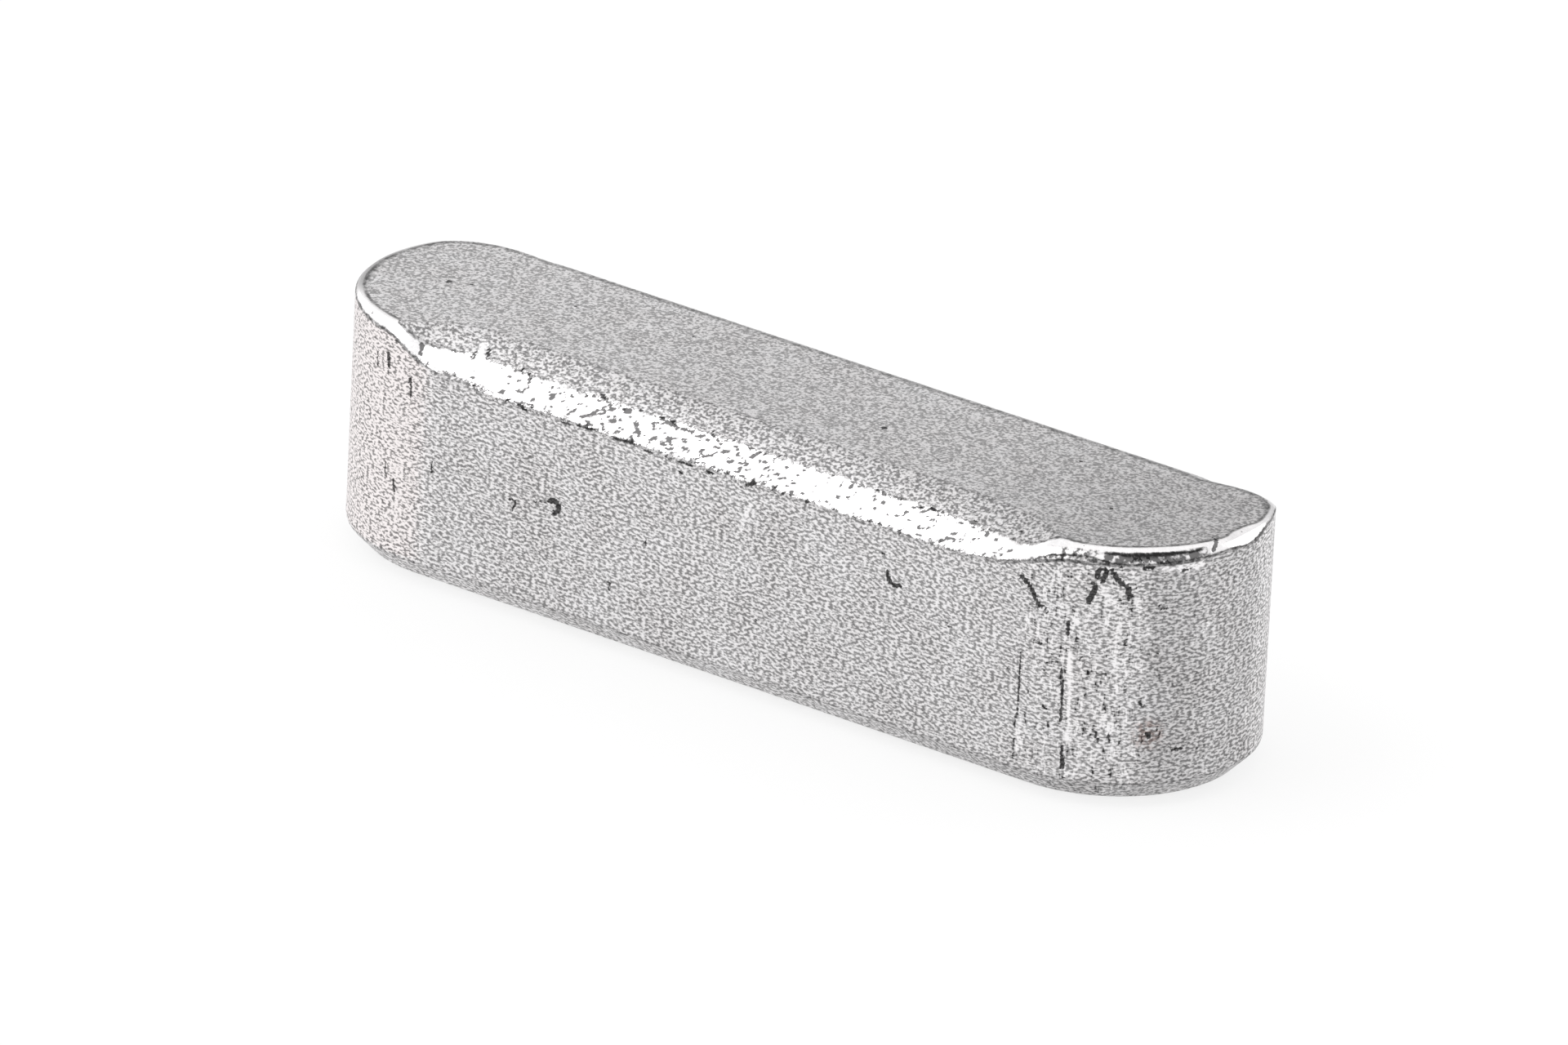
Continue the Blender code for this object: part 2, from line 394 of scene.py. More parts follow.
def chamfer_pits():
    """Fine pits on the front chamfer, in the same form as its nicks."""
    chance = np.random.default_rng(PIT_SEED)
    reach = math.hypot(CHAMFER_WIDTH, CHAMFER_DROP)
    pits = []
    for count, start, stop in PIT_GROUPS:
        for _ in range(count):
            u, v = chance.uniform(start, stop), chance.uniform(*PIT_SHARE_UP) * reach
            lean, length = chance.uniform(*PIT_LEAN), chance.uniform(*PIT_LENGTH)
            points = [(u, v), (u + length * math.cos(lean), v + length * math.sin(lean))]
            pits.append((points, chance.uniform(*PIT_HALF_WIDTH), chance.uniform(*PIT_DEPTH),
                         chance.uniform(*PIT_DARKNESS)))
    return pits


def press(marks, u, v, area, shade):
    """Depth that a set of marks takes off the surface. Their shade is kept in shade."""
    depth = np.zeros_like(shade)
    for points, width, mark_depth, strength in marks:
        mask = stroke(u, v, points, width) * area
        depth += mark_depth * mask
        np.maximum(shade, strength * mask, out=shade)
    return depth


# Painted light and shade on the round ends, a darker right flank with a lighter far part and a lighter left
# end: what they add, and the window of places where they add it
FLANK_TONES = ((-0.14, (13.3, 17.0, 0.35)), (-0.08, (13.3, 14.8, 0.35)), (0.07, (17.3, 20.0, 0.5)))
LEFT_END_TONE = (0.34, (-15.6, -9.7, 0.8))

# Painted light and shade on the walls, darker to the right and toward the foot: their tone at the left, how
# much it falls along the key, its share at the foot, and its rise upward
WALL_TONE = 1.01
WALL_FALL = (0.05, (-9.0, 9.0))
FOOT_TONE = 0.97
TONE_RISE = 0.06

# Painted shade on the top, darker to the right: its tone at the left, and its two falls along the key
TOP_TONE = 0.95
TOP_FALLS = ((0.06, (-9.0, 0.0)), (0.16, (3.0, 13.0)))


def painted_light_and_shade_zones(place, level, on_wall):
    """Painted light and shade as broad tones: a brighter left end, a darker right flank, walls darker to
    the right and at the foot, and a top that darkens to the right.
    """
    flank = 1.0
    for added, reach in FLANK_TONES:
        flank = flank + added * window(place, *reach)
    added, reach = LEFT_END_TONE
    left = 1.0 + added * window(place, *reach)
    x = outline(place)[0][:, 0]
    fall, reach = WALL_FALL
    front = (WALL_TONE - fall * smooth(x, *reach)) * (FOOT_TONE + TONE_RISE * level / HEIGHT)
    top = TOP_TONE
    for fall, reach in TOP_FALLS:
        top = top - fall * smooth(x, *reach)
    return on_wall * front * flank * left + (1 - on_wall) * top


# Distances over which the wall's marks come in above its foot and go out at its top, and over which the
# break's marks come in
WALL_MARKS_START = (0.0, 0.15)
WALL_MARKS_STOP = (-0.06, 0.02)
BREAK_MARKS_START = (-0.16, -0.05)

# How far the round ends' milling stays off the long sides, and its ease
END_MARGIN = 0.1
END_EASE = 0.25

# Waves of the walls and milling lines of the ends: height, cell and seed. The lines are stretched upward
WALL_WAVES = ((0.0016, 1.1, 11), (0.0010, 0.4, 12))
MILLING_LINES = (0.0022, 0.22, 13)
MILLING_STRETCH = 0.08

# Windows of places for the qualities of the surface: start, stop and ease
MOST_STREAKED = (9.9, 13.4, 0.3)
LEAST_STREAKED = 0.35
DARK_BAND_SPAN = (12.0, 15.1, 0.5)
FAINT_DARK_BAND = (0.7, (10.6, 12.5, 0.4))
THICK_DARK_BAND = (12.7, 14.1, 0.4)
LEFT_BITE = (-9.0, -7.9, 0.35)
RIGHT_BITE = (0.8, (10.4, 12.2, 0.5))

# Places between which the left end's chamfer loses its polish and painted highlight, and those where the
# far side gets both back
POLISH_AND_HIGHLIGHT_FROM = (-13.9, -12.7)
FAR_POLISH_AND_HIGHLIGHT_FROM = (15.6, 17.4)

# Places between which the rear of the right end and of the left end begins
RIGHT_REAR = (17.3, 18.6)
LEFT_REAR = (13.0, 14.2)


def surface_qualities(around):
    """Where each quality of the surface holds round the key, by the name of its attribute."""
    faint, faint_reach = FAINT_DARK_BAND
    right_bite, bite_reach = RIGHT_BITE
    return {
        "polished": smooth(around, *POLISH_AND_HIGHLIGHT_FROM) + smooth(-around, *FAR_POLISH_AND_HIGHLIGHT_FROM),
        "residue": np.maximum(window(around, *DARK_BAND_SPAN), faint * window(around, *faint_reach)),
        "bite": window(around, *LEFT_BITE) + right_bite * window(around, *bite_reach),
        "caked": window(around, *THICK_DARK_BAND),
        "rear": smooth(around, *RIGHT_REAR) + smooth(-around, *LEFT_REAR),
    }


def surface_relief(around, level, above_wall, on_wall, on_break, on_end):
    """Height of the surface over its smooth shape, and how dark and how light its marks are; the light
    marks are painted highlights.
    """
    waves = sum(height * lattice_noise(around, level, cell, seed) for height, cell, seed in WALL_WAVES)
    height, cell, seed = MILLING_LINES
    milled = height * lattice_noise(around, level * MILLING_STRETCH, cell, seed) * on_end
    dark, light = np.zeros_like(level), np.zeros_like(level)
    depth = press(WALL_MARKS.values(), around, level, on_wall, dark)
    depth += press(WALL_GLINTS.values(), around, level, on_wall, light)
    depth += press(CHAMFER_NICKS.values(), around, above_wall, on_break, dark)
    depth += press(CHAMFER_GLINTS.values(), around, above_wall, on_break, light)
    depth += press(chamfer_pits(), around, above_wall, on_break, dark)
    return (waves + milled) * on_wall - depth, dark, light


def grid_mesh(name, points):
    """Mesh of a grid of points in millimetres, closed round the key."""
    rows, columns = points.shape[:2]
    index = np.arange(rows * columns).reshape(rows, columns)
    after = np.roll(index, -1, 1)
    quads = np.stack([index[:-1], after[:-1], after[1:], index[1:]], axis=-1)
    mesh = bpy.data.meshes.new(name)
    mesh.from_pydata(points.reshape(-1, 3) * MM, [], quads.reshape(-1, 4).tolist())
    return mesh


def key_mesh():
    """Mesh of the key, with all that its material reads stored at its points."""
    place = column_places()
    plan, normal = outline(place)
    rows, bends = section_rows(key_section(place))
    inset, level = rows[:, 0, :], rows[:, 1, :]
    points = np.empty(inset.shape + (3,))
    points[..., :2] = plan[None] - inset[..., None] * normal[None]
    points[..., 2] = level

    steps = np.linalg.norm(np.diff(np.stack([inset, level], -1), axis=0), axis=-1)
    run = np.concatenate([np.zeros((1, len(place))), np.cumsum(steps, axis=0)])
    starts = {name: run[bend] for name, bend in zip(("base", "foot", "wall", "crease", "rim"), bends)}
    frost_share = np.where(place < 0, LEFT_FROST_SHARE, RIGHT_FROST_SHARE)
    frosted = smooth(shoulder_share(place) / frost_share, 0.0, 1.0)
    starts["strip"] = starts["rim"] + (starts["crease"] - starts["rim"]) * frosted
    above_wall = run - starts["wall"]

    around = np.broadcast_to(place, inset.shape)
    on_wall = smooth(run - starts["foot"], *WALL_MARKS_START) * (1 - smooth(above_wall, *WALL_MARKS_STOP))
    on_break = smooth(above_wall, *BREAK_MARKS_START)
    on_end = window(np.abs(around), END_CENTRE + END_MARGIN, END_CENTRE + HALF_ROUND - END_MARGIN, END_EASE)
    relief, dark, light = surface_relief(around, level, above_wall, on_wall, on_break, on_end)
    points += surface_normals(points) * relief[..., None]

    mesh = grid_mesh("steel_key", points)
    store_vector(mesh, "wrap", np.stack([around, level, np.zeros_like(level)], axis=-1))
    for name, start in starts.items():
        store(mesh, f"above_{name}", run - start)
    store(mesh, "wide", np.broadcast_to(chamfer_share(place), inset.shape))
    streaked = LEAST_STREAKED + (1.0 - LEAST_STREAKED) * window(around, *MOST_STREAKED)
    store(mesh, "streaked", on_end * streaked)
    for name, share in surface_qualities(around).items():
        store(mesh, name, share)
    store(mesh, "zone", painted_light_and_shade_zones(place, level, on_wall))
    store(mesh, "dark_mark", dark)
    store(mesh, "light_mark", light)
    weld_seams(mesh)
    mesh.shade_smooth()
    return mesh


def store(mesh, name, values):
    attribute = mesh.attributes.new(name, "FLOAT", "POINT")
    attribute.data.foreach_set("value", np.ascontiguousarray(values, np.float32).ravel())


def store_vector(mesh, name, values):
    attribute = mesh.attributes.new(name, "FLOAT_VECTOR", "POINT")
    attribute.data.foreach_set("vector", np.ascontiguousarray(values, np.float32).ravel())


# Points closer than this are welded, and edges shorter than this go
WELD_DISTANCE = 0.002
SHORTEST_EDGE = 0.0005


def weld_seams(mesh):
    """Joins the rows that meet along the middle of the top and of the underside."""
    builder = bmesh.new()
    builder.from_mesh(mesh)
    bmesh.ops.remove_doubles(builder, verts=builder.verts, dist=WELD_DISTANCE * MM)
    bmesh.ops.dissolve_degenerate(builder, edges=builder.edges, dist=SHORTEST_EDGE * MM)
    bmesh.ops.recalc_face_normals(builder, faces=builder.faces)
    builder.to_mesh(mesh)
    builder.free()


# Shares of a line's half width and of a spot's radius that are at full strength
LINE_CORE = 0.2
SPOT_CORE = 0.4


class Shader:
    """Short ways to add nodes to a material."""

    def __init__(self, name):
        self.material = bpy.data.materials.new(name)
        self.material.use_nodes = True
        self.tree = self.material.node_tree
        self.surface = self.tree.nodes["Principled BSDF"]

    def add(self, kind, inputs=(), **settings):
        node = self.tree.nodes.new(kind)
        for key, value in settings.items():
            setattr(node, key, value)
        for key, value in dict(inputs).items():
            self.feed(node.inputs[key], value)
        return node

    def feed(self, socket, value):
        if isinstance(value, bpy.types.NodeSocket):
            self.tree.links.new(value, socket)
        else:
            socket.default_value = value

    def math(self, operation, *values):
        return self.add("ShaderNodeMath", enumerate(values), operation=operation).outputs[0]

    def chain(self, operation, first, *others):
        for other in others:
            first = self.math(operation, first, other)
        return first

    def times(self, *values):
        return self.chain("MULTIPLY", *values)

    def plus(self, *values):
        return self.chain("ADD", *values)

    def most(self, *values):
        return self.chain("MAXIMUM", *values)

    def less(self, first, second):
        return self.math("SUBTRACT", first, second)

    def attribute(self, name):
        return self.add("ShaderNodeAttribute", attribute_name=name)

    def value_of(self, name):
        return self.attribute(name).outputs["Fac"]

    def noise(self, vector, stretch, detail=2.0, roughness=0.5):
        scaled = self.add("ShaderNodeVectorMath", {0: vector, 1: stretch}, operation="MULTIPLY").outputs[0]
        inputs = {"Vector": scaled, "Scale": 1.0, "Detail": detail, "Roughness": roughness}
        return self.add("ShaderNodeTexNoise", inputs).outputs["Fac"]

    def ramp(self, value, start, stop, low=0.0, high=1.0):
        inputs = {"Value": value, "From Min": start, "From Max": stop, "To Min": low, "To Max": high}
        return self.add("ShaderNodeMapRange", inputs, interpolation_type="SMOOTHSTEP").outputs["Result"]

    def mix(self, share, first, second):
        node = self.add("ShaderNodeMix", data_type="FLOAT")
        self.feed(node.inputs[0], share)
        self.feed(node.inputs[2], first)
        self.feed(node.inputs[3], second)
        return node.outputs[0]

    def tint(self, share, first, second):
        node = self.add("ShaderNodeMix", data_type="RGBA")
        self.feed(node.inputs[0], share)
        self.feed(node.inputs[6], first)
        self.feed(node.inputs[7], second)
        return node.outputs[2]

    def centred(self, pattern):
        """A pattern from 0 to 1, measured from its middle."""
        return self.less(pattern, 0.5)

    def thin_line(self, distance, half_width):
        """1 where distance is near 0, falling to 0 at half_width on both sides."""
        return self.ramp(self.math("ABSOLUTE", distance), LINE_CORE * half_width, half_width, 1.0, 0.0)

    def spot(self, vector, centre, radius):
        """1 inside a round spot, fading out at its radius."""
        node = self.add("ShaderNodeVectorMath", {0: vector, 1: centre}, operation="DISTANCE")
        return self.ramp(node.outputs["Value"], SPOT_CORE * radius, radius, 1.0, 0.0)


# Dark specks on the top: place in plan and radius
TOP_SPECKS = (((2.85, -0.63), 0.13), ((-11.55, -0.56), 0.12), ((-11.0, -0.30), 0.07), ((-4.6, 0.9), 0.06),
              ((7.9, 1.1), 0.07), ((5.2, -1.4), 0.06), ((-8.1, 0.4), 0.06), ((10.4, -0.9), 0.08))

# Brown stain on the right end: place round the key and height, radius, tone that it leaves, share of brown
BROWN_STAIN = (13.56, 2.02, 0.0)
BROWN_RADIUS = 0.55
BROWN_TONE = 0.72
BROWN_SHARE = 0.5

# Colours of the steel: two that lie in patches, one for the left end and one for the stain
WARM_STEEL = (0.606, 0.588, 0.588, 1.0)
COOL_STEEL = (0.590, 0.586, 0.594, 1.0)
LEFT_END_STEEL = (0.610, 0.578, 0.576, 1.0)
STAINED_STEEL = (0.50, 0.34, 0.30, 1.0)

# Noise patterns that run round the key and up it: cells to the millimetre along each axis, detail and, for
# some, roughness
SIDE_GRAIN = ((8.0, 15.0, 1.0), 1.0)
DRAW_LINES = ((0.25, 12.0, 1.0), 2.0)
RAGGED_LOW = ((4.5, 6.0, 1.0), 5.0, 0.80)
STREAKS = ((6.5, 1.7, 1.0), 2.5, 0.6)
SPECKLE = ((6.0, 9.0, 1.0), 2.0)
BLOTCHES = ((9.0, 9.0, 1.0), 2.0)

# Noise patterns that run through space: the same
TOP_GRAIN = ((12.5, 12.5, 12.5), 1.0)
FROST_GRAIN = ((10.0, 13.0, 13.0), 1.5)
PATCHES = ((0.9, 0.9, 0.9), 2.0)
RAGGED_HIGH = ((4.0, 4.0, 4.0), 6.0, 0.75)
BROKEN_LINES = ((2.2, 2.2, 2.2), 3.0, 0.6)
FINE_PITS = ((5.5, 6.5, 6.5), 2.0)
FLECKS = ((2.6, 2.6, 3.8), 3.0)
TORN_EDGES = ((13.0, 13.0, 13.0), 2.0)

# Levels of noise between which a pattern comes in. Light streaks go out between theirs
SIDE_GRAIN_LEVELS = (0.36, 0.64)
TOP_GRAIN_LEVELS = (0.35, 0.65)
FROST_GRAIN_LEVELS = (0.36, 0.64)
DARK_STREAK_LEVELS = (0.585, 0.65)
LIGHT_STREAK_LEVELS = (0.35, 0.415)
BROKEN_LEVELS = (0.35, 0.60)
SPECKLE_LEVELS = (0.40, 0.60)
BLOTCH_LEVELS = (0.52, 0.60)
PIT_LEVELS = (0.70, 0.76)
FLECK_LEVELS = (0.735, 0.765)

# Bright strip: how far its borders are torn on the narrow and on the wide break, how far its lower border
# stands above the chamfer's foot, how much farther where it is bitten, and how soft both borders are
LOW_TEAR = (0.14, 1.15)
HIGH_TEAR = (0.12, 1.05)
LOW_BORDER = 0.03
BITE_DEPTH = 0.17
LOW_SOFTNESS = 0.012
HIGH_SOFTNESS = 0.015

# Heights over which one face goes over into the next
BORDER_BLEND = (-0.02, 0.02)
TOP_BLEND = (-0.04, 0.02)
UNDERSIDE_BLEND = (-0.05, 0.0)
CHAMFER_BLEND = (-0.01, 0.02)

# Contrast of the grain on the walls, the frosted shoulder and the flat faces, and what the left end adds
WALL_CONTRAST = 1.04
FROST_CONTRAST = 1.12
FLAT_CONTRAST = 0.85
LEFT_END_CONTRAST = 0.20
LEFT_END_ZONES = (1.04, 1.22)

# Contrast of the patches elsewhere and on the walls, of the lines that drawing the bar left, and of streaks
PATCH_CONTRAST = (0.16, 0.32)
DRAW_LINE_CONTRAST = 0.20
LIGHT_STREAK = 0.55
DARK_STREAK = -0.50

# Tone of the frosted shoulder at the crease and after a run above it, a painted shading that darkens it
# away from the crease
FROST_TONES = (0.97, 0.85)
FROST_RUN = 0.95

# Tone of the chamfer where it has lost its polish, and how much of that the narrow break shows
DULL_TONE = 0.60
NARROW_DULLNESS = 0.35

# Tone of the bright strip, worn polish with a painted highlight, and its grain, the painted highlights that
# light marks add, and the tone of the rear's narrow facets
POLISH_AND_HIGHLIGHT_TONE = 1.52
POLISH_GRAIN = 0.10
LIGHT_MARK_TONE = 0.85
REAR_TONE = 0.80

# Painted shade along the edges and creases, as dark lines: how far below its edge each lies, its half width
# and its strength
LOW_LINE = (0.01, 0.055, 1.25)
HIGH_LINE = (0.0, 0.045, 1.1)
NARROW_LOW_LINE = (0.02, 0.070, 1.2)
NARROW_HIGH_LINE = (-0.03, 0.080, 1.2)
RIM_LINE = (0.0, 0.04, 0.45)
FOOT_LINE = (0.0, 0.06, 0.5)
BASE_LINE = (0.0, 0.09, 1.0)

# Painted shade as a dark band above the rear's rim: heights over which it comes in and goes out, and its
# strength
REAR_BAND = ((-0.02, 0.01), (0.08, 0.20), 0.9)

# Least and most that these lines take off, as their noise breaks them
LINE_STRENGTHS = (0.25, 0.62)

# Tones that the dark band, its core and dark marks leave, the marks on the steel and on the bright strip
BAND_TONE = 0.22
CORE_TONE = 0.15
MARK_TONES = (0.14, 0.24)

# Dark band on the right end's chamfer: how widely it is strewn, its levels, the heights over which it comes
# in above the chamfer's foot and goes out above the crease, and how much more than the strip's lower border
# its foot is torn
DARK_BAND_SPREAD = 2.2
DARK_BAND_LEVELS = (0.55, 1.0)
DARK_BAND_START = (0.0, 0.04)
DARK_BAND_STOP = (0.03, 0.08)
DARK_BAND_TEAR = 2.5

# Its dark core: levels, how far below the crease it lies, its tear, and its half width when thin and thick
CORE_LEVELS = (0.60, 0.9)
CORE_DROP = 0.02
CORE_TEAR = 1.5
CORE_HALF_WIDTHS = (0.055, 0.13)

# Strength of pits, flecks and top specks, how much noise tears the dark marks, and their levels
SPECK_STRENGTH = 0.8
TEAR_STRENGTH = 1.4
DARK_LEVELS = (0.24, 0.58)

# Limits of the whole tone
LEAST_TONE = 0.05
MOST_TONE = 1.6

# Roughness of the steel between its grains and on them, of the bright strip, and of dark and dirty places
STEEL_ROUGHNESS = (0.47, 0.38)
STRIP_ROUGHNESS = 0.25
DARK_ROUGHNESS = 0.62

# Height of the finest relief and its strength, and the shares of it that each pattern has
BUMP_HEIGHT = 0.004
BUMP_STRENGTH = 0.6
STRIP_GRAIN_LIFT = 0.35
MARK_LIFT = -1.0
LIGHT_STREAK_LIFT = 0.4
DARK_STREAK_LIFT = -0.5


def read_places(made):
    """Where on the key a point is: how far up its section, with shares of each quality, and shades."""
    heights = ("above_base", "above_foot", "above_wall", "above_crease", "above_strip", "above_rim")
    shares = ("wide", "rear", "streaked", "polished", "bite", "residue", "caked")
    shades = ("zone", "dark_mark", "light_mark")
    at = SimpleNamespace(**{name: made.value_of(name) for name in heights + shares + shades})
    at.wrap = made.attribute("wrap").outputs["Vector"]
    where = made.add("ShaderNodeTexCoord").outputs["Object"]
    scaled = made.add("ShaderNodeVectorMath", {0: where, 1: (1 / MM,) * 3}, operation="MULTIPLY")
    at.in_mm = scaled.outputs[0]
    return at


def find_regions(made, at):
    """Shares of each region at a point, with the torn borders of the bright strip."""
    on = SimpleNamespace()
    on.low_shift = made.times(made.centred(made.noise(at.wrap, *RAGGED_LOW)), made.mix(at.wide, *LOW_TEAR))
    high_shift = made.times(made.centred(made.noise(at.in_mm, *RAGGED_HIGH)), made.mix(at.wide, *HIGH_TEAR))
    on.low_edge = made.plus(at.above_wall, on.low_shift, -LOW_BORDER)
    on.low_edge = made.less(on.low_edge, made.times(at.bite, BITE_DEPTH))
    on.high_edge = made.plus(at.above_strip, high_shift)
    below_high = made.ramp(on.high_edge, -HIGH_SOFTNESS, HIGH_SOFTNESS, 1.0, 0.0)
    on.strip = made.times(made.ramp(on.low_edge, -LOW_SOFTNESS, LOW_SOFTNESS), below_high, at.polished)
    on.above = made.ramp(on.high_edge, *BORDER_BLEND)
    on.top = made.ramp(at.above_rim, *TOP_BLEND)
    on.frost = made.times(on.above, made.less(1.0, on.top))
    on.under = made.ramp(at.above_base, *UNDERSIDE_BLEND, 1.0, 0.0)
    below_low = made.ramp(on.low_edge, -LOW_SOFTNESS, LOW_SOFTNESS, 1.0, 0.0)
    on.wall = made.less(below_low, on.under)
    on.flat = made.plus(on.top, on.under)
    on.left_end = made.times(made.ramp(at.zone, *LEFT_END_ZONES), on.wall)
    below_crease = made.ramp(at.above_crease, *CHAMFER_BLEND, 1.0, 0.0)
    on.chamfer = made.times(made.ramp(at.above_wall, *CHAMFER_BLEND), below_crease)
    return on


def steel_grain(made, at, on, side_grain):
    """Fine grain of each face, from 0 to 1."""
    top_grain = made.ramp(made.noise(at.in_mm, *TOP_GRAIN), *TOP_GRAIN_LEVELS)
    frost_grain = made.ramp(made.noise(at.in_mm, *FROST_GRAIN), *FROST_GRAIN_LEVELS)
    grain = made.mix(on.above, side_grain, made.mix(on.top, frost_grain, top_grain))
    return made.mix(on.under, grain, top_grain)


def clean_tone(made, at, on, grain, patches, light_streak, dark_streak):
    """Tone of the steel by its grain, patches, drawing lines, streaks and broad zones."""
    draw_lines = made.noise(at.wrap, *DRAW_LINES)
    contrast = made.plus(
        made.times(on.wall, WALL_CONTRAST),
        made.times(on.frost, FROST_CONTRAST),
        made.times(on.flat, FLAT_CONTRAST),
        made.times(on.left_end, LEFT_END_CONTRAST),
    )
    tone = made.plus(1.0, made.times(made.centred(grain), contrast))
    tone = made.plus(tone, made.times(made.centred(patches), made.mix(on.wall, *PATCH_CONTRAST)))
    tone = made.plus(tone, made.times(made.centred(draw_lines), on.wall, DRAW_LINE_CONTRAST))
    tone = made.plus(tone, made.times(light_streak, LIGHT_STREAK), made.times(dark_streak, DARK_STREAK))
    return made.times(tone, at.zone)


def break_tone(made, at, on, tone, side_grain):
    """The tone with the frosted shoulder and its painted shading, the dull parts of the chamfer and the
    bright strip with its painted highlight.
    """
    # Painted shading across the frosted shoulder
    frosted = made.times(tone, made.ramp(at.above_crease, 0.0, FROST_RUN, *FROST_TONES))
    tone = made.mix(on.frost, tone, frosted)
    dull_wall = made.times(on.wall, made.mix(at.wide, NARROW_DULLNESS, 1.0))
    dull = made.times(on.chamfer, made.most(dull_wall, made.times(on.above, at.wide)))
    tone = made.times(tone, made.mix(dull, 1.0, DULL_TONE))
    # Bright strip: worn polish whose raised tone is a painted highlight
    strip_polish_and_highlight = made.plus(POLISH_AND_HIGHLIGHT_TONE, made.times(made.centred(side_grain), POLISH_GRAIN))
    tone = made.mix(on.strip, tone, strip_polish_and_highlight)
    # Painted highlights of the glints and light scratches
    tone = made.plus(tone, made.times(at.light_mark, LIGHT_MARK_TONE))
    above_foot = made.ramp(at.above_wall, *BORDER_BLEND)
    facet = made.times(above_foot, made.less(1.0, on.top), made.less(1.0, at.wide))
    return made.times(tone, made.mix(made.times(at.rear, facet), 1.0, REAR_TONE))


def edge_shade_line(made, above_edge, line, *shares):
    """Painted shade as a dark line along an edge, where each of the shares lets it show."""
    below, half_width, strength = line
    return made.times(made.thin_line(made.plus(above_edge, below), half_width), *shares, strength)


def edge_shade_lines(made, at, on):
    """All painted shade lines along the edges and creases, broken by their noise."""
    narrow = made.less(1.0, at.wide)
    start, stop, strength = REAR_BAND
    band = made.times(made.ramp(at.above_rim, *start), made.ramp(at.above_rim, *stop, 1.0, 0.0))
    lines = made.most(
        edge_shade_line(made, on.low_edge, LOW_LINE),
        edge_shade_line(made, on.high_edge, HIGH_LINE),
        edge_shade_line(made, at.above_wall, NARROW_LOW_LINE, narrow),
        edge_shade_line(made, at.above_strip, NARROW_HIGH_LINE, narrow),
        edge_shade_line(made, at.above_rim, RIM_LINE),
        made.times(band, at.rear, strength),
        edge_shade_line(made, at.above_foot, FOOT_LINE),
        edge_shade_line(made, at.above_base, BASE_LINE),
    )
    broken = made.ramp(made.noise(at.in_mm, *BROKEN_LINES), *BROKEN_LEVELS)
    return made.times(lines, made.mix(broken, *LINE_STRENGTHS))


def dark_chamfer_band(made, at, on, speckle):
    """Dark band on the right end's chamfer: a patchy band and its darker core."""
    above_foot = made.plus(at.above_wall, made.times(on.low_shift, DARK_BAND_TEAR))
    above_foot = made.ramp(above_foot, *DARK_BAND_START)
    below_crease = made.ramp(made.plus(at.above_crease, on.low_shift), *DARK_BAND_STOP, 1.0, 0.0)
    strewn = made.plus(at.residue, made.times(made.centred(speckle), DARK_BAND_SPREAD))
    band = made.times(made.ramp(strewn, *DARK_BAND_LEVELS), above_foot, below_crease)
    blotches = made.times(made.ramp(made.noise(at.wrap, *BLOTCHES), *BLOTCH_LEVELS), at.caked)
    core_place = made.plus(at.above_crease, made.times(on.low_shift, CORE_TEAR), CORE_DROP)
    core_place = made.math("DIVIDE", core_place, made.mix(at.caked, *CORE_HALF_WIDTHS))
    core = made.times(made.thin_line(core_place, 1.0), made.ramp(at.residue, *CORE_LEVELS), below_crease)
    return band, made.most(core, made.times(blotches, above_foot, below_crease))


def dark_marks(made, at, on):
    """Dents, nicks, pits and flecks, and painted shade beside the crease tick, with torn edges."""
    pits = made.ramp(made.noise(at.in_mm, *FINE_PITS), *PIT_LEVELS)
    flecks = made.ramp(made.noise(at.in_mm, *FLECKS), *FLECK_LEVELS)
    pits = made.times(pits, on.strip, SPECK_STRENGTH)
    flecks = made.times(flecks, on.wall, SPECK_STRENGTH)
    specks = made.most(at.dark_mark, pits, flecks)
    for (x, y), radius in TOP_SPECKS:
        specks = made.most(specks, made.times(made.spot(at.in_mm, (x, y, HEIGHT), radius), SPECK_STRENGTH))
    torn = made.centred(made.noise(at.in_mm, *TORN_EDGES))
    return made.ramp(made.plus(specks, made.times(torn, TEAR_STRENGTH)), *DARK_LEVELS)


